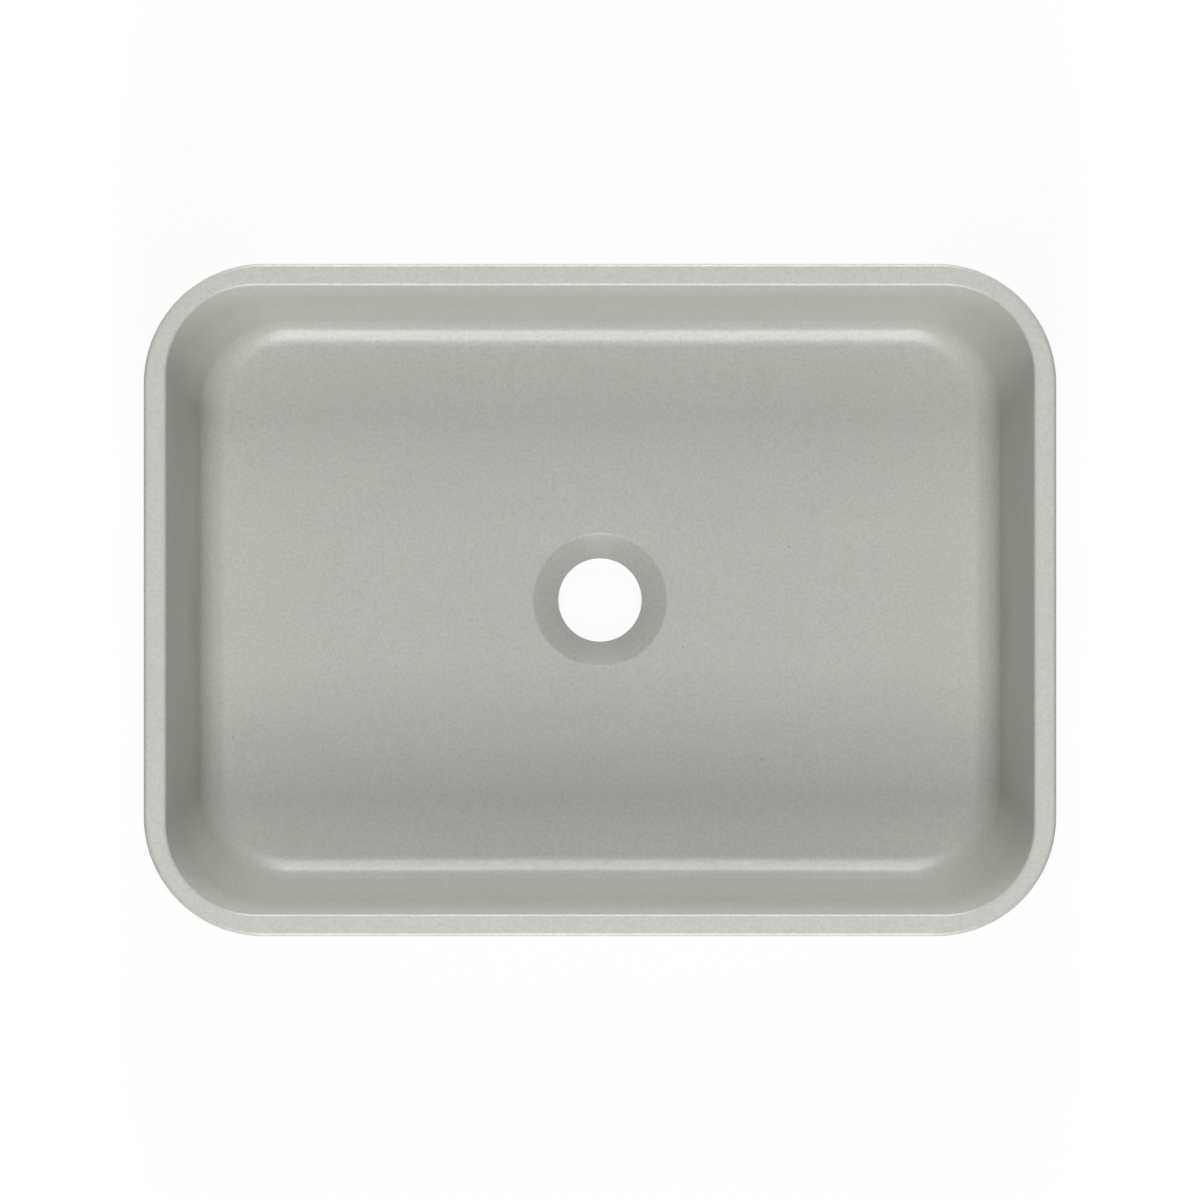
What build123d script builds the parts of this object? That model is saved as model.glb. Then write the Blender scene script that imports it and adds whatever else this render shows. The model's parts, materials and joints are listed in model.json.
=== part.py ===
"""Countertop washbasin: a rectangular tub cast in one piece, standing on four pads.

Lengths are millimetres and angles are degrees. +Z is up, +X runs to the user's
right and +Y away from the user. The origin is on the worktop, straight under
the middle of the waste hole.
"""

from build123d import *
import math
import os

# Outline, seen from above
overall_length = 482.6
overall_width = 355.6
overall_height = 140.0
outer_corner_radius = 62.8

# Rim and walls
rim_width = 11.6
rim_edge_radius = 2.0
mouth_corner_radius = 47.6
wall_lean = 9.7

# Floor
floor_thickness = 12.0
floor_fall = 1.2
floor_cove_radius = 15.0

# Waste hole, and the seat round it for the waste's flange
waste_hole_diameter = 44.0
waste_hole_length = 10.0
waste_seat_diameter = 70.5
waste_seat_depth = 8.0
waste_seat_edge_radius = 2.5
waste_hole_edge_radius = 1.0

# Underside: a foot all round, and a boss round the waste hole
base_edge_radius = 5.0
foot_land = 2.5
boss_diameter = 80.0
relief_cove_radius = 3.0

# Pads, stuck into round sockets in the corners of the foot
pad_diameter = 16.0
pad_thickness = 3.0
pad_stand = 1.5
pad_edge_radius = 0.6
socket_clearance = 0.5

# Places that follow from the sizes above
foot_z = pad_stand
rim_z = overall_height
floor_z = foot_z + waste_hole_length + waste_seat_depth
relief_z = floor_z - floor_thickness
lean = math.radians(wall_lean)
lean_per_height = math.tan(lean)
socket_diameter = pad_diameter + 2 * socket_clearance
base_edge_width = base_edge_radius * math.tan(math.radians((90 - wall_lean) / 2))
foot_width = base_edge_width + 2 * foot_land + socket_diameter

# Rounding the rim's edge takes this much off each side, so the sharp outline starts that much wider
rim_edge_loss = rim_edge_radius * ((1 + math.sin(lean)) / math.cos(lean) - 1)
sharp_length = overall_length + 2 * rim_edge_loss
sharp_width = overall_width + 2 * rim_edge_loss
sharp_corner_radius = outer_corner_radius + rim_edge_loss
base_length = sharp_length - 2 * (rim_z - foot_z) * lean_per_height
base_width = sharp_width - 2 * (rim_z - foot_z) * lean_per_height

# How far a cutting shape runs past the face that it cuts
overcut = 5.0


def leaning_block(length, width, corner_radius, low_z, high_z):
    """A block of that plan at the rim's height, whose four walls lean inwards as they go down.

    The corners keep one radius all the way, so they are moved in and not shrunk.
    """

    def plan(z):
        inset = (rim_z - z) * lean_per_height
        return Pos(0, 0, z) * RectangleRounded(length - 2 * inset, width - 2 * inset, corner_radius)

    return loft([plan(low_z), plan(high_z)], ruled=True)


def turned(points, rounded):
    """A solid turned about Z from an outline of (radius, height) points.

    rounded maps a point's place in the list to the radius of its corner.
    """
    section = make_face(Polyline(*points, close=True))
    for place, radius in rounded.items():
        corner = section.vertices().sort_by_distance(points[place])[0]
        section = fillet(corner, radius)
    return revolve(Plane.XZ * section, Axis.Z)


def bowl_space():
    """The room inside the tub: walls, falling floor, waste seat and waste hole."""
    reach = math.hypot(overall_length, overall_width) / 2
    hole_radius = waste_hole_diameter / 2
    seat_radius = waste_seat_diameter / 2
    floor_edge_z = floor_z + (reach - seat_radius) * math.tan(math.radians(floor_fall))
    below = foot_z - overcut
    above = rim_z + overcut
    void = turned(
        [
            (0, below),
            (hole_radius, below),
            (hole_radius, floor_z - waste_seat_depth),
            (seat_radius, floor_z),
            (reach, floor_edge_z),
            (reach, above),
            (0, above),
        ],
        {2: waste_hole_edge_radius, 3: waste_seat_edge_radius},
    )
    walls = leaning_block(
        overall_length - 2 * rim_width,
        overall_width - 2 * rim_width,
        mouth_corner_radius,
        below,
        above,
    )
    space = walls & void
    floor = space.faces().filter_by(GeomType.CONE).sort_by(SortBy.AREA)[-1]
    return fillet(floor.outer_wire().edges(), floor_cove_radius)


def underside_relief():
    """The shallow hollow under the floor, between the foot and the boss."""
    plan = RectangleRounded(
        base_length - 2 * foot_width,
        base_width - 2 * foot_width,
        sharp_corner_radius - foot_width,
    )
    plan -= Circle(boss_diameter / 2)
    hollow = Pos(0, 0, foot_z - overcut) * extrude(plan, relief_z - foot_z + overcut)
    roof = hollow.faces().sort_by(Axis.Z)[-1]
    return fillet(roof.edges(), relief_cove_radius)


def pad_places():
    """The middle of each pad, halfway across the flat of the foot at its corner."""
    corner_x = base_length / 2 - sharp_corner_radius
    corner_y = base_width / 2 - sharp_corner_radius
    swing = sharp_corner_radius - (base_edge_width + foot_width) / 2
    out = swing * math.cos(math.radians(45))
    return {
        "front_left": (-corner_x - out, -corner_y - out),
        "front_right": (corner_x + out, -corner_y - out),
        "back_left": (-corner_x - out, corner_y + out),
        "back_right": (corner_x + out, corner_y + out),
    }


def basin():
    """The tub itself, one casting."""
    tub = leaning_block(sharp_length, sharp_width, sharp_corner_radius, foot_z, rim_z)
    tub = fillet(tub.faces().sort_by(Axis.Z)[0].edges(), base_edge_radius)
    tub -= bowl_space()
    tub = fillet(tub.faces().sort_by(Axis.Z)[-1].edges(), rim_edge_radius)
    tub -= underside_relief()
    socket_depth = pad_thickness - pad_stand
    for x, y in pad_places().values():
        socket = Cylinder(
            socket_diameter / 2,
            socket_depth + overcut,
            align=(Align.CENTER, Align.CENTER, Align.MAX),
        )
        tub -= Pos(x, y, foot_z + socket_depth) * socket
    return tub


def pad():
    """One round pad, lying on the worktop at the origin."""
    disc = Cylinder(pad_diameter / 2, pad_thickness, align=(Align.CENTER, Align.CENTER, Align.MIN))
    return fillet(disc.faces().sort_by(Axis.Z)[0].edges(), pad_edge_radius)


def main():
    os.makedirs("parts", exist_ok=True)
    export_step(basin(), "parts/basin.step")
    for place, (x, y) in pad_places().items():
        export_step(Pos(x, y, 0) * pad(), f"parts/pad_{place}.step")


main()
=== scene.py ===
"""A countertop washbasin of cast stone, seen from straight above on a white studio floor.

Lengths are metres and angles are radians, apart from the names that end in mm or degrees.
+Z is up, +X runs to the user's right and +Y away from the user. The worktop is at Z 0.
"""

import json
import math

import bmesh
import bpy
from bpy.props import FloatProperty, FloatVectorProperty, PointerProperty
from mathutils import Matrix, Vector


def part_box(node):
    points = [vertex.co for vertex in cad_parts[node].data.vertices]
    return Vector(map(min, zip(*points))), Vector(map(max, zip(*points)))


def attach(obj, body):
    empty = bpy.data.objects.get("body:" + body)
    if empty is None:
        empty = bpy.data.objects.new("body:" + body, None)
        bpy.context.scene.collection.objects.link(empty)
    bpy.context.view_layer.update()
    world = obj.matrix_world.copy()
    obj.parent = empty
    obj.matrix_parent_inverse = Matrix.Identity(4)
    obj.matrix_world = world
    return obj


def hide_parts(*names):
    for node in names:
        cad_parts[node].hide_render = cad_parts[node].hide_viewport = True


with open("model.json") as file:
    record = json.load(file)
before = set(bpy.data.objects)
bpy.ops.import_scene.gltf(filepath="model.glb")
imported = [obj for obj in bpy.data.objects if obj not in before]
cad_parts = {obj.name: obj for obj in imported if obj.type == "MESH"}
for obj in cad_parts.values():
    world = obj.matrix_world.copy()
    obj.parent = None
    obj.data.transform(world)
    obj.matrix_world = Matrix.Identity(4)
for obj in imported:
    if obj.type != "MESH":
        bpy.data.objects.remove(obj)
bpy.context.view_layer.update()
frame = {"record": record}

bl_info = {
    "name": "Cast stone washbasin",
    "version": (1, 0, 0),
    "blender": (4, 5, 0),
    "location": "View3D > Sidebar > Washbasin",
    "description": "Builds a rectangular countertop washbasin, its pads and a plain studio",
    "category": "Object",
}

BODY = "root"
BASIN_NODE = "basin"
PAD_NODES = ("pad_front_left", "pad_front_right", "pad_back_left", "pad_back_right")
UP = Vector((0, 0, 1))
DOWN = Vector((0, 0, -1))
MM = 0.001

# What the frame says of the tub and its waste hole
BASIN_LOW, BASIN_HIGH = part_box(BASIN_NODE)
PAD_LOW, PAD_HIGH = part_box(PAD_NODES[0])
WASTE_HOLE = next(m for m in frame["record"]["mounts"] if m["name"] == "waste_hole")["dims"]

# How finely the tub's mesh is divided
CORNER_STEPS = 24
LONG_SIDE_STEPS = 28
SHORT_SIDE_STEPS = 18
WALL_STEPS = 12
FLOOR_STEPS = 18
EDGE_STEPS = 8
COVE_STEPS = 18
FLAT_STEPS = 3
SEAT_STEPS = 12
ROUND_STEPS = 96

# The height of the cove's ball and the floor under it settle each other in this many rounds
COVE_ROUNDS = 4

# How far each way from its middle the seat's slope is bowed, as a share of its length
BOWED_SHARE = 0.42

# Edges that turn by more than this stay sharp
SHARP_DEGREES = 30

# Sizes of the stone's pattern
CLOUD_MM = 45
SAND_MM = 1.6
DARK_SPACING_MM = 3.2
PALE_SPACING_MM = 3.9
GRAIN_MM = 1.0
PINHOLE_SPACING_MM = 14.0
PINHOLE_MM = 1.1
PINHOLE_DEPTH_MM = 0.25
SAND_DEPTH_MM = 0.02

# The rubber's pattern
TOOTH_MM = 0.4
TOOTH_DEPTH_MM = 0.03

# The ways that the lamps stand in, in degrees round from +X
FRONT = 270
BACK = 90

# The studio, in metres
FLOOR_HALF = 6.0
FLOOR_DROP = 0.1 * MM
CAMERA_HEIGHT = 2.0
SOFTBOX_DISTANCE = 4.0
SOFTBOX_WIDTH = 0.5
OVERHEAD_DISTANCE = 3.0
OVERHEAD_SIDE = 1.2

# How much of the floor's whiteness is its own where it is seen. The rest takes the object's shadow
FLOOR_GLOW_SHARE = 0.94


def linear(hex_colour):
    """An sRGB hex colour as linear red, green and blue."""
    parts = (int(hex_colour[i : i + 2], 16) / 255 for i in (1, 3, 5))
    return tuple(c / 12.92 if c <= 0.04045 else ((c + 0.055) / 1.055) ** 2.4 for c in parts)


def length_property(name, description, default):
    return FloatProperty(name=name, description=description, default=default, unit="LENGTH", precision=4)


def angle_property(name, description, degrees):
    return FloatProperty(name=name, description=description, default=math.radians(degrees), subtype="ANGLE")


def level_property(name, description, default):
    return FloatProperty(name=name, description=description, default=default, min=0)


def colour_property(name, description, hex_colour):
    return FloatVectorProperty(
        name=name, description=description, default=linear(hex_colour), subtype="COLOR", size=3, min=0, max=1
    )


class WashbasinSizes(bpy.types.PropertyGroup):
    """Sizes of the tub. Its outline, height, waste hole and pads come from the frame."""

    corner: length_property("Outer corner", "Radius of the outline's corners, seen from above", 62.8 * MM)
    mouth_corner: length_property("Mouth corner", "Radius of the corners between the walls inside", 47.6 * MM)
    rim_width: length_property("Rim width", "Width of the flat rim, its rounded edges included", 11.6 * MM)
    rim_edge: length_property("Rim edge", "Radius of the rim's two edges", 2.0 * MM)
    wall_lean: angle_property("Wall lean", "How far the walls lean out of upright", 9.7)
    cove: length_property("Cove", "Radius between the walls and the floor", 15.0 * MM)
    floor_fall: angle_property("Floor fall", "Slope of the floor towards the waste", 1.2)
    seat_diameter: length_property("Waste seat", "Diameter of the dish round the waste hole", 70.5 * MM)
    seat_depth: length_property("Waste seat depth", "How far the seat dips below the floor", 8.0 * MM)
    seat_bow: length_property("Waste seat bow", "How far the seat's slope bows up halfway", 0.2 * MM)
    seat_edge: length_property("Waste seat edge", "Radius between the floor and the seat", 2.5 * MM)
    hole_edge: length_property("Hole edge", "Radius between the seat and the hole", 1.0 * MM)
    base_edge: length_property("Base edge", "Radius of the tub's bottom edge", 5.0 * MM)
    foot_land: length_property("Foot land", "Flat left on the foot each side of a pad's socket", 2.5 * MM)
    relief_height: length_property("Relief height", "Depth of the hollow under the floor", 6.0 * MM)
    relief_cove: length_property("Relief cove", "Radius at the roof of that hollow", 3.0 * MM)
    boss_diameter: length_property("Boss", "Diameter of the boss under the waste hole", 80.0 * MM)
    pad_edge: length_property("Pad edge", "Radius of a pad's lower edge", 0.6 * MM)
    socket_gap: length_property("Socket gap", "Clearance round a pad in its socket", 0.5 * MM)


class WashbasinFinish(bpy.types.PropertyGroup):
    """Colours of the stone, the rubber and the studio floor, and the painted shade put into the stone's
    bubble pits.
    """

    stone: colour_property("Stone", "Colour of the cast stone", "#ACADA7")
    sand: colour_property("Sand", "Colour of its darker grains of sand", "#9C9D97")
    chalk: colour_property("Chalk", "Colour of its paler grains", "#BABBB5")
    # Painted shade: a darker colour put inside the air bubbles' pits, where shade would fall
    pinhole_shade: colour_property("Pinhole shade", "Colour inside an air bubble's pinhole", "#7A7B75")
    rubber: colour_property("Rubber", "Colour of the pads", "#2C2C2B")
    studio: colour_property("Studio floor", "Colour of the floor", "#F4F4F2")


class WashbasinStudio(bpy.types.PropertyGroup):
    """Camera and light. A level of 1 lights a white surface to white."""

    view_width: length_property("View width", "Width that the camera takes in", 634.6 * MM)
    front_high: level_property("Front high light", "Level from the tall softbox high in front", 0.39)
    front_low: level_property("Front low light", "Level from the low softbox in front", 0.15)
    front_skim: level_property("Front skimming light", "Level from the strip just over the floor", 0.023)
    back_high: level_property("Back high light", "Level from the tall softbox high behind", 0.265)
    back_low: level_property("Back low light", "Level from the low softbox behind", 0.165)
    back_skim: level_property("Back skimming light", "Level from the strip just over the floor", 0.03)
    overhead: level_property("Overhead light", "Level from the softbox overhead", 0.15)
    world: level_property("World light", "Level from all round", 0.01)


def stations():
    """Places round a rectangle with rounded corners, as (heading, side along X, side along Y).

    The heading is the way that the outline faces there. A side runs from -1 to 1
    along a straight part, and stays at one end round a corner.
    """
    corners = ((1, 1), (-1, 1), (-1, -1), (1, -1))
    places = []
    for turn, (side_x, side_y) in enumerate(corners):
        next_x, next_y = corners[(turn + 1) % len(corners)]
        for step in range(CORNER_STEPS + 1):
            places.append((math.radians(90 * (turn + step / CORNER_STEPS)), side_x, side_y))
        side_steps = LONG_SIDE_STEPS if side_y == next_y else SHORT_SIDE_STEPS
        for step in range(1, side_steps):
            share = step / side_steps
            along_x = side_x + (next_x - side_x) * share
            along_y = side_y + (next_y - side_y) * share
            places.append((math.radians(90 * (turn + 1)), along_x, along_y))
    return places


STATIONS = stations()


class Wall:
    """A wall all round, leaning inwards as it goes down, whose corners keep one radius."""

    def __init__(self, half_length, half_width, corner, top, lean):
        self.half_length = half_length
        self.half_width = half_width
        self.corner = corner
        self.top = top
        self.slope = math.tan(lean)

    def outward(self, station):
        return Vector((math.cos(station[0]), math.sin(station[0]), 0))

    def point(self, station, height):
        inset = self.corner + (self.top - height) * self.slope
        core_x = station[1] * (self.half_length - inset)
        core_y = station[2] * (self.half_width - inset)
        core = Vector((core_x, core_y, height))
        return core + self.outward(station) * self.corner

    def ring(self, height):
        return [self.point(station, height) for station in STATIONS]

    def lean(self, station):
        """Lean of the surface there. It is steeper round a corner, which moves along both axes."""
        facing = self.outward(station)
        return math.atan(self.slope * (abs(facing.x) + abs(facing.y)))

    def ball(self, station, height, radius, side):
        """The centre of a ball at that height that touches the wall, and the way to where it touches.

        side is -1 for a ball on the inner side of the wall and 1 for one on the outer side.
        """
        lean = self.lean(station)
        normal = self.outward(station) * math.cos(lean) + DOWN * math.sin(lean)
        touch = self.point(station, height + side * radius * math.sin(lean))
        return touch + normal * (side * radius), normal * -side

    def rolled_edge(self, radius, side, height, end, steps):
        """Rings of the surface that a ball rolls out along the wall, from the wall to its end.

        height and end give the ball's height and the way to its other touching point.
        """
        balls = []
        for station in STATIONS:
            ball_height = height(station)
            centre, way = self.ball(station, ball_height, radius, side)
            balls.append((centre, way, end(centre)))
        return [
            [centre + way.slerp(last, step / steps) * radius for centre, way, last in balls]
            for step in range(steps + 1)
        ]


def between(first, last, steps):
    """Rings that divide the way from one ring to another, without either of them."""
    return [
        [a.lerp(b, step / steps) for a, b in zip(first, last)]
        for step in range(1, steps)
    ]


def turned_ring(bearings, radius, height):
    """A round ring, with its points on the given bearings."""
    return [Vector((radius * math.cos(a), radius * math.sin(a), height)) for a in bearings]


def rounded_corner(before, corner, after, radius, steps=EDGE_STEPS):
    """Points (radius, height) of the arc that rounds one corner of a turned outline."""
    to_before = (Vector(before) - Vector(corner)).normalized()
    to_after = (Vector(after) - Vector(corner)).normalized()
    half_angle = to_before.angle(to_after) / 2
    reach = radius / math.tan(half_angle)
    centre = Vector(corner) + (to_before + to_after).normalized() * (radius / math.sin(half_angle))
    first = (Vector(corner) + to_before * reach - centre).normalized()
    last = (Vector(corner) + to_after * reach - centre).normalized()
    return [centre + first.slerp(last, step / steps) * radius for step in range(steps + 1)]


class TubShape:
    """The surface of the tub as one closed run of rings, and the places that follow from its sizes."""

    def __init__(self, sizes):
        self.sizes = sizes
        self.rim = BASIN_HIGH.z
        self.foot = BASIN_LOW.z
        self.hole_radius = WASTE_HOLE["r_mm"] * MM
        self.seat_radius = sizes.seat_diameter / 2
        self.floor = self.foot + WASTE_HOLE["length_mm"] * MM + sizes.seat_depth
        half_length = (BASIN_HIGH.x - BASIN_LOW.x) / 2
        half_width = (BASIN_HIGH.y - BASIN_LOW.y) / 2
        lean = sizes.wall_lean
        # Rounding the rim's edge takes this much off each side of the sharp outline
        edge_loss = sizes.rim_edge * ((1 + math.sin(lean)) / math.cos(lean) - 1)
        self.outer = Wall(
            half_length + edge_loss, half_width + edge_loss, sizes.corner + edge_loss, self.rim, lean
        )
        self.inner = Wall(
            half_length - sizes.rim_width, half_width - sizes.rim_width, sizes.mouth_corner, self.rim, lean
        )
        base_inset = (self.rim - self.foot) * self.outer.slope
        socket_diameter = PAD_HIGH.x - PAD_LOW.x + 2 * sizes.socket_gap
        base_edge_width = sizes.base_edge * math.tan((math.pi / 2 - lean) / 2)
        foot_width = base_edge_width + 2 * sizes.foot_land + socket_diameter
        self.relief = Wall(
            self.outer.half_length - base_inset - foot_width,
            self.outer.half_width - base_inset - foot_width,
            self.outer.corner - foot_width,
            self.rim,
            0.0,
        )
        self.bearings = [math.atan2(p.y, p.x) for p in self.cove()[0]]

    def floor_height(self, point):
        """Height of the falling floor, which rises from the seat's edge as a shallow cone."""
        return self.floor + (point.xy.length - self.seat_radius) * math.tan(self.sizes.floor_fall)

    def cove_height(self, station):
        """Height of the centre of the ball that rolls in the cove, touching both wall and floor."""
        height = self.floor + self.sizes.cove
        for _ in range(COVE_ROUNDS):
            centre, _way = self.inner.ball(station, height, self.sizes.cove, -1)
            height = self.floor_height(centre) + self.sizes.cove / math.cos(self.sizes.floor_fall)
        return height

    def floor_way(self, centre):
        """The way from a ball's centre to where it touches the falling floor."""
        fall = self.sizes.floor_fall
        outward = Vector((centre.x, centre.y, 0)).normalized()
        return outward * math.sin(fall) + DOWN * math.cos(fall)

    def cove(self):
        """Rings from the floor up to the wall."""
        rings = self.inner.rolled_edge(self.sizes.cove, -1, self.cove_height, self.floor_way, COVE_STEPS)
        return rings[::-1]

    def turned_rings(self, outline):
        return [turned_ring(self.bearings, radius, height) for radius, height in outline]

    def waste(self):
        """Rings up the waste hole, over its edge, up the bowed seat and over the seat's edge."""
        sizes = self.sizes
        foot = Vector((self.hole_radius, self.foot))
        low = Vector((self.hole_radius, self.floor - sizes.seat_depth))
        high = Vector((self.seat_radius, self.floor))
        far = self.seat_radius + sizes.cove
        far = Vector((far, self.floor_height(Vector((far, 0, 0)))))
        slope = high - low
        # Two tangents meet twice as far out as the bow that they touch
        middle = (low + high) / 2 + Vector((-slope.y, slope.x)).normalized() * (2 * sizes.seat_bow)
        half_turn = math.atan(4 * sizes.seat_bow / slope.length)
        bow_radius = BOWED_SHARE * slope.length / math.tan(half_turn)
        outline = [foot, (foot + low) / 2]
        outline += rounded_corner(foot, low, middle, sizes.hole_edge)
        outline += rounded_corner(low, middle, high, bow_radius, SEAT_STEPS)
        outline += rounded_corner(middle, high, far, sizes.seat_edge)
        return self.turned_rings(outline)

    def floor_rings(self, first, last):
        """Rings over the floor, from the seat's edge to the foot of the cove."""
        rings = between(first, last, FLOOR_STEPS)
        for ring in rings:
            for point in ring:
                point.z = self.floor_height(point)
        return rings

    def rim_edge(self, wall, side):
        """Rings from a wall over one of the rim's edges."""
        radius = self.sizes.rim_edge
        return wall.rolled_edge(radius, side, lambda _: self.rim - radius, lambda _: UP, EDGE_STEPS)

    def base_edge(self):
        """Rings from the outer wall round the bottom edge."""
        radius = self.sizes.base_edge
        return self.outer.rolled_edge(radius, -1, lambda _: self.foot + radius, lambda _: DOWN, EDGE_STEPS)

    def underside(self):
        """Rings up into the hollow under the floor, over its roof and down the boss."""
        sizes = self.sizes
        roof = self.foot + sizes.relief_height
        radius = sizes.relief_cove
        boss = sizes.boss_diameter / 2
        cove = self.relief.rolled_edge(radius, -1, lambda _: roof - radius, lambda _: UP, EDGE_STEPS)
        outline = rounded_corner((boss + 2 * radius, roof), (boss, roof), (boss, self.foot), radius)
        outline += [Vector((boss, self.foot)), Vector(((boss + self.hole_radius) / 2, self.foot))]
        boss_rings = self.turned_rings(outline)
        roof_rings = between(cove[-1], boss_rings[0], FLOOR_STEPS)
        return [self.relief.ring(self.foot)] + cove + roof_rings + boss_rings

    def rings(self):
        """All the rings in order: up the hole, over bowl and rim, down outside and back underneath."""
        waste = self.waste()
        cove = self.cove()
        mouth = self.rim_edge(self.inner, 1)
        edge = self.rim_edge(self.outer, -1)[::-1]
        base = self.base_edge()
        under = self.underside()
        rings = waste + self.floor_rings(waste[-1], cove[0]) + cove
        rings += between(cove[-1], mouth[0], WALL_STEPS) + mouth
        rings += between(mouth[-1], edge[0], FLAT_STEPS) + edge
        rings += between(edge[-1], base[0], WALL_STEPS) + base
        rings += between(base[-1], under[0], FLAT_STEPS) + under
        return rings


def mesh_from_rings(name, rings, closed):
    """A mesh of quads through the rings. closed joins the last ring to the first."""
    mesh = bmesh.new()
    rows = [[mesh.verts.new(point) for point in ring] for ring in rings]
    pairs = list(zip(rows, rows[1:]))
    if closed:
        pairs.append((rows[-1], rows[0]))
    for low, high in pairs:
        for i in range(len(low)):
            j = (i + 1) % len(low)
            mesh.faces.new((low[i], low[j], high[j], high[i]))
    if not closed:
        mesh.faces.new(rows[0][::-1])
        mesh.faces.new(rows[-1])
    bmesh.ops.recalc_face_normals(mesh, faces=mesh.faces[:])
    data = bpy.data.meshes.new(name)
    mesh.to_mesh(data)
    mesh.free()
    return data


def check_closed(piece):
    """Raises an error if the piece has no faces, or a gap or a stray face among them."""
    mesh = bmesh.new()
    mesh.from_mesh(piece.data)
    closed = len(mesh.faces) > 0 and all(edge.is_manifold for edge in mesh.edges)
    mesh.free()
    if not closed:
        raise RuntimeError(f"The mesh of {piece.name} isn't closed")


def finish_piece(piece, node, material):
    """Gives a closed piece its material and its place in the frame."""
    check_closed(piece)
    piece.data.materials.clear()
    piece.data.materials.append(material)
    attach(piece, BODY)
    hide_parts(node)


def add_object(name, data):
    piece = bpy.data.objects.new(name, data)
    bpy.context.scene.collection.objects.link(piece)
    return piece


def soften(piece):
    """Smooth shading that keeps the sharp edges sharp and the flat faces flat."""
    piece.data.shade_smooth()
    piece.data.set_sharp_from_angle(angle=math.radians(SHARP_DEGREES))
    weighted = piece.modifiers.new("flat faces stay flat", "WEIGHTED_NORMAL")
    weighted.keep_sharp = True
    weighted.weight = 100


def round_bar(name, centre, radius, low, high, edge=0.0):
    """A round upright bar whose lower edge may be rounded."""
    outline = [Vector((radius, low)), Vector((radius, high))]
    if edge:
        outline[:1] = rounded_corner((0, low), (radius, low), (radius, high), edge)
    bearings = [2 * math.pi * step / ROUND_STEPS for step in range(ROUND_STEPS)]
    rings = [turned_ring(bearings, r, z) for r, z in outline]
    offset = Vector((centre.x, centre.y, 0))
    return add_object(name, mesh_from_rings(name, [[p + offset for p in ring] for ring in rings], False))


def cut_sockets(tub, sizes):
    """Cuts the shallow round socket for each pad out of the foot."""
    for node in PAD_NODES:
        low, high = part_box(node)
        radius = (high.x - low.x) / 2 + sizes.socket_gap
        cutter = round_bar("socket", (low + high) / 2, radius, low.z - high.z, high.z)
        cut = tub.modifiers.new("socket", "BOOLEAN")
        cut.operation = "DIFFERENCE"
        cut.solver = "EXACT"
        cut.object = cutter
        result = bpy.data.meshes.new_from_object(tub.evaluated_get(bpy.context.evaluated_depsgraph_get()))
        tub.modifiers.clear()
        tub.data = result
        bpy.data.objects.remove(cutter)


def add_node(tree, kind, inputs=None, links=None, **options):
    """Adds one node to a material or world, with its options, its input values and its links."""
    node = tree.nodes.new(kind)
    for name, value in options.items():
        setattr(node, name, value)
    for name, value in (inputs or {}).items():
        node.inputs[name].default_value = value
    for name, output in (links or {}).items():
        tree.links.new(output, node.inputs[name])
    return node


def new_material(name):
    material = bpy.data.materials.new(name)
    material.use_nodes = True
    return material, material.node_tree, material.node_tree.nodes["Principled BSDF"]


def per_metre(size_mm):
    """The scale of a pattern whose features measure that many millimetres."""
    return 1000 / size_mm


def rgba(colour):
    return (*colour, 1.0)


def grains(tree, place, spacing_mm, grain_mm, share):
    """A mask of scattered round grains: their spacing, their width, and the share of places that hold one."""
    cells = add_node(
        tree,
        "ShaderNodeTexVoronoi",
        {"Scale": per_metre(spacing_mm), "Randomness": 1.0},
        {"Vector": place},
    )
    near = add_node(
        tree,
        "ShaderNodeMapRange",
        {"From Min": 0.5 * grain_mm / spacing_mm, "From Max": 0.25 * grain_mm / spacing_mm},
        {"Value": cells.outputs["Distance"]},
    )
    chance = add_node(tree, "ShaderNodeSeparateColor", links={"Color": cells.outputs["Color"]})
    chosen = add_node(
        tree, "ShaderNodeMath", {1: share}, {0: chance.outputs["Red"]}, operation="LESS_THAN"
    )
    mask = add_node(
        tree, "ShaderNodeMath", links={0: near.outputs[0], 1: chosen.outputs[0]}, operation="MULTIPLY"
    )
    return mask.outputs[0]


def mixed(tree, factor, first, second):
    """The second colour over the first, by the factor."""
    mix = add_node(tree, "ShaderNodeMix", data_type="RGBA")
    tree.links.new(factor, mix.inputs["Factor"])
    for socket, colour in ((mix.inputs[6], first), (mix.inputs[7], second)):
        if isinstance(colour, bpy.types.NodeSocket):
            tree.links.new(colour, socket)
        else:
            socket.default_value = rgba(colour)
    return mix.outputs[2]


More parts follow.
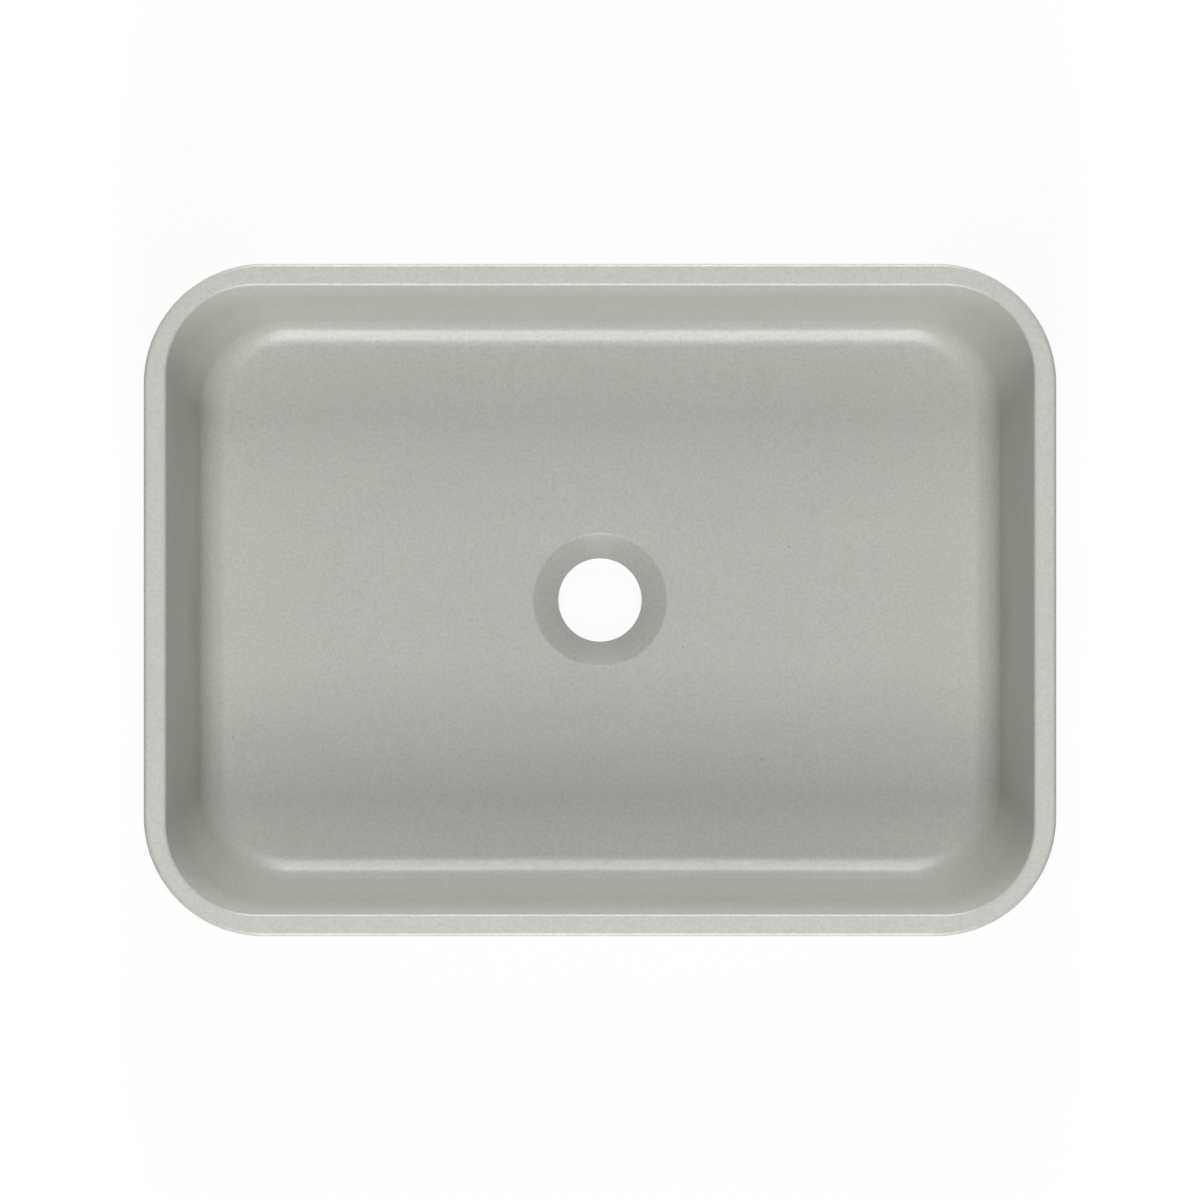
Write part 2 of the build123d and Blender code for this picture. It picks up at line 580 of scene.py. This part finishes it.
def cast_stone(finish):
    """Cast stone, a resin and stone flour composite, poured in a smooth mould and sealed matt.

    The eye sees one pale grey with a breath of green in it, fine sand just under the surface, a few darker
    and paler grains, rare bubble pits that a bump dents and painted shade darkens, and a soft sheen on the
    bends.
    """
    material, tree, surface = new_material("cast stone composite, moulded and sealed matt")
    place = add_node(tree, "ShaderNodeTexCoord").outputs["Object"]
    cloud = add_node(
        tree, "ShaderNodeTexNoise", {"Scale": per_metre(CLOUD_MM), "Detail": 2.0}, {"Vector": place}
    ).outputs["Fac"]
    # Such sand is about 0.3 mm across, too fine to show, so it is drawn at 1.6 mm
    sand = add_node(
        tree, "ShaderNodeTexNoise", {"Scale": per_metre(SAND_MM), "Detail": 2.0}, {"Vector": place}
    ).outputs["Fac"]
    clouded = add_node(
        tree, "ShaderNodeMapRange", {"From Min": 0.35, "From Max": 0.65, "To Max": 0.10}, {"Value": cloud}
    ).outputs[0]
    sanded = add_node(
        tree, "ShaderNodeMapRange", {"From Min": 0.40, "From Max": 0.72, "To Max": 0.60}, {"Value": sand}
    ).outputs[0]
    colour = mixed(tree, clouded, finish.stone, finish.chalk)
    colour = mixed(tree, sanded, colour, finish.sand)
    dark_grains = grains(tree, place, DARK_SPACING_MM, GRAIN_MM, 0.30)
    pale_grains = grains(tree, place, PALE_SPACING_MM, GRAIN_MM, 0.30)
    # The air bubbles' pits: one mask dents them with a bump and also paints shade into them
    pinhole_pits_and_shade = grains(tree, place, PINHOLE_SPACING_MM, PINHOLE_MM, 0.16)
    faint = add_node(tree, "ShaderNodeMath", {1: 0.5}, {0: dark_grains}, operation="MULTIPLY").outputs[0]
    colour = mixed(tree, faint, colour, finish.sand)
    colour = mixed(tree, pale_grains, colour, finish.chalk)
    # Painted shade: the pits are coloured darker, as if shade fell inside them
    colour = mixed(tree, pinhole_pits_and_shade, colour, finish.pinhole_shade)
    tree.links.new(colour, surface.inputs["Base Color"])
    sheen = add_node(
        tree,
        "ShaderNodeMapRange",
        {"From Min": 0.3, "From Max": 0.7, "To Min": 0.36, "To Max": 0.44},
        {"Value": sand},
    ).outputs[0]
    tree.links.new(sheen, surface.inputs["Roughness"])
    surface.inputs["IOR"].default_value = 1.6
    tooth = add_node(
        tree, "ShaderNodeBump", {"Strength": 0.25, "Distance": SAND_DEPTH_MM * MM}, {"Height": sand}
    )
    pitted = add_node(
        tree,
        "ShaderNodeBump",
        {"Strength": 0.6, "Distance": PINHOLE_DEPTH_MM * MM},
        {"Height": pinhole_pits_and_shade, "Normal": tooth.outputs[0]},
        invert=True,
    )
    tree.links.new(pitted.outputs[0], surface.inputs["Normal"])
    return material


def moulded_rubber(finish):
    """EPDM rubber, moulded: near black, dull, with a fine tooth from the mould."""
    material, tree, surface = new_material("EPDM rubber, moulded")
    place = add_node(tree, "ShaderNodeTexCoord").outputs["Object"]
    tooth = add_node(
        tree, "ShaderNodeTexNoise", {"Scale": per_metre(TOOTH_MM), "Detail": 3.0}, {"Vector": place}
    ).outputs["Fac"]
    worn = tuple(min(1.0, 1.6 * part) for part in finish.rubber)
    tree.links.new(mixed(tree, tooth, finish.rubber, worn), surface.inputs["Base Color"])
    surface.inputs["Roughness"].default_value = 0.75
    surface.inputs["IOR"].default_value = 1.52
    bump = add_node(
        tree, "ShaderNodeBump", {"Strength": 0.5, "Distance": TOOTH_DEPTH_MM * MM}, {"Height": tooth}
    )
    tree.links.new(bump.outputs[0], surface.inputs["Normal"])
    return material


def seen_directly(tree):
    """1 for rays from the camera and for those it sees in gloss or glass, 0 for rays that carry light."""
    path = add_node(tree, "ShaderNodeLightPath")
    seen = path.outputs["Is Camera Ray"]
    for kind in ("Is Glossy Ray", "Is Transmission Ray"):
        seen = add_node(
            tree, "ShaderNodeMath", links={0: seen, 1: path.outputs[kind]}, operation="MAXIMUM"
        ).outputs[0]
    return seen


def studio_floor(finish):
    """Painted board, rolled flat matt: white where it is seen, keeping a trace of each shadow."""
    material, tree, surface = new_material("painted board, rolled flat matt")
    surface.inputs["Roughness"].default_value = 1.0
    surface.inputs["Specular IOR Level"].default_value = 0.0
    surface.inputs["Base Color"].default_value = rgba(finish.studio)
    glow = add_node(tree, "ShaderNodeEmission", {"Strength": 1.0})
    share = add_node(
        tree, "ShaderNodeMath", {1: FLOOR_GLOW_SHARE}, {0: seen_directly(tree)}, operation="MULTIPLY"
    )
    mix = add_node(
        tree,
        "ShaderNodeMixShader",
        links={0: share.outputs[0], 1: surface.outputs[0], 2: glow.outputs[0]},
    )
    tree.links.new(mix.outputs[0], tree.nodes["Material Output"].inputs["Surface"])
    return material


def softbox(name, azimuth_degrees, elevation_degrees, distance, width, height, level):
    """A lamp with a soft white front, turned to the origin. level is how white it lights the floor."""
    azimuth = math.radians(azimuth_degrees)
    elevation = math.radians(elevation_degrees)
    lamp = bpy.data.lights.new(name, "AREA")
    lamp.shape = "RECTANGLE"
    lamp.size = width
    lamp.size_y = height
    lamp.energy = level * (math.pi * distance) ** 2 / math.sin(elevation)
    way = Vector(
        (
            math.cos(azimuth) * math.cos(elevation),
            math.sin(azimuth) * math.cos(elevation),
            math.sin(elevation),
        )
    )
    holder = add_object(name, lamp)
    holder.location = way * distance
    holder.rotation_euler = way.to_track_quat("Z", "Y").to_euler()
    return holder


class WASHBASIN_OT_tub(bpy.types.Operator):
    """Cast the tub: bowl, rim, walls, waste seat, foot and underside"""

    bl_idname = "washbasin.tub"
    bl_label = "Cast the tub"

    def execute(self, context):
        sizes = context.scene.washbasin_sizes
        tub = add_object("cast_tub", mesh_from_rings("cast_tub", TubShape(sizes).rings(), True))
        cut_sockets(tub, sizes)
        soften(tub)
        finish_piece(tub, BASIN_NODE, cast_stone(context.scene.washbasin_finish))
        return {"FINISHED"}


class WASHBASIN_OT_pads(bpy.types.Operator):
    """Stick the round rubber pads into their sockets under the foot"""

    bl_idname = "washbasin.pads"
    bl_label = "Stick on the pads"

    def execute(self, context):
        sizes = context.scene.washbasin_sizes
        rubber = moulded_rubber(context.scene.washbasin_finish)
        for node in PAD_NODES:
            low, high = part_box(node)
            radius = (high.x - low.x) / 2
            pad = round_bar(f"rubber_{node}", (low + high) / 2, radius, low.z, high.z, sizes.pad_edge)
            soften(pad)
            finish_piece(pad, node, rubber)
        return {"FINISHED"}


class WASHBASIN_OT_studio(bpy.types.Operator):
    """Set up the white floor, the seven softboxes, the world and the camera overhead"""

    bl_idname = "washbasin.studio"
    bl_label = "Set up the studio"

    def execute(self, context):
        scene = context.scene
        studio = scene.washbasin_studio
        corners = [(-FLOOR_HALF, -FLOOR_HALF), (FLOOR_HALF, -FLOOR_HALF)]
        corners += [(FLOOR_HALF, FLOOR_HALF), (-FLOOR_HALF, FLOOR_HALF)]
        data = bpy.data.meshes.new("studio_floor")
        # A hair below the pads, so that the two never lie in one plane
        data.from_pydata([(x, y, -FLOOR_DROP) for x, y in corners], [], [(0, 1, 2, 3)])
        data.materials.append(studio_floor(scene.washbasin_finish))
        add_object("studio_floor", data)
        for name, azimuth, elevation, height, level in (
            ("front_high", FRONT, 51, 1.4, studio.front_high),
            ("front_low", FRONT, 26, 0.6, studio.front_low),
            ("front_skim", FRONT, 6, 0.4, studio.front_skim),
            ("back_high", BACK, 50, 1.2, studio.back_high),
            ("back_low", BACK, 23.2, 0.4, studio.back_low),
            ("back_skim", BACK, 6, 0.4, studio.back_skim),
        ):
            softbox(name, azimuth, elevation, SOFTBOX_DISTANCE, SOFTBOX_WIDTH, height, level)
        softbox("overhead", FRONT, 82, OVERHEAD_DISTANCE, OVERHEAD_SIDE, OVERHEAD_SIDE, studio.overhead)
        world = bpy.data.worlds.new("studio")
        world.use_nodes = True
        scene.world = world
        tree = world.node_tree
        strength = add_node(
            tree,
            "ShaderNodeMapRange",
            {"To Min": studio.world, "To Max": 1.0},
            {"Value": seen_directly(tree)},
        )
        tree.links.new(strength.outputs[0], tree.nodes["Background"].inputs["Strength"])
        tree.nodes["Background"].inputs["Color"].default_value = (1, 1, 1, 1)
        camera = bpy.data.cameras.new("camera")
        camera.type = "ORTHO"
        camera.ortho_scale = studio.view_width
        holder = add_object("camera", camera)
        holder.location = (0, 0, CAMERA_HEIGHT)
        scene.camera = holder
        scene.view_settings.view_transform = "Standard"
        return {"FINISHED"}


class WASHBASIN_PT_panel(bpy.types.Panel):
    """The washbasin's operators, sizes, colours and light"""

    bl_idname = "WASHBASIN_PT_panel"
    bl_label = "Washbasin"
    bl_space_type = "VIEW_3D"
    bl_region_type = "UI"
    bl_category = "Washbasin"

    def draw(self, context):
        scene = context.scene
        for operator in OPERATORS:
            self.layout.operator(operator.bl_idname)
        for group in (scene.washbasin_sizes, scene.washbasin_finish, scene.washbasin_studio):
            box = self.layout.box()
            for name in group.bl_rna.properties.keys():
                if name not in ("rna_type", "name"):
                    box.prop(group, name)


OPERATORS = (WASHBASIN_OT_tub, WASHBASIN_OT_pads, WASHBASIN_OT_studio)
CLASSES = (WashbasinSizes, WashbasinFinish, WashbasinStudio, *OPERATORS, WASHBASIN_PT_panel)


def register():
    for cls in CLASSES:
        bpy.utils.register_class(cls)
    bpy.types.Scene.washbasin_sizes = PointerProperty(type=WashbasinSizes)
    bpy.types.Scene.washbasin_finish = PointerProperty(type=WashbasinFinish)
    bpy.types.Scene.washbasin_studio = PointerProperty(type=WashbasinStudio)


def unregister():
    del bpy.types.Scene.washbasin_studio
    del bpy.types.Scene.washbasin_finish
    del bpy.types.Scene.washbasin_sizes
    for cls in reversed(CLASSES):
        bpy.utils.unregister_class(cls)


def main():
    register()
    bpy.ops.washbasin.tub()
    bpy.ops.washbasin.pads()
    bpy.ops.washbasin.studio()


if __name__ == "__main__":
    main()
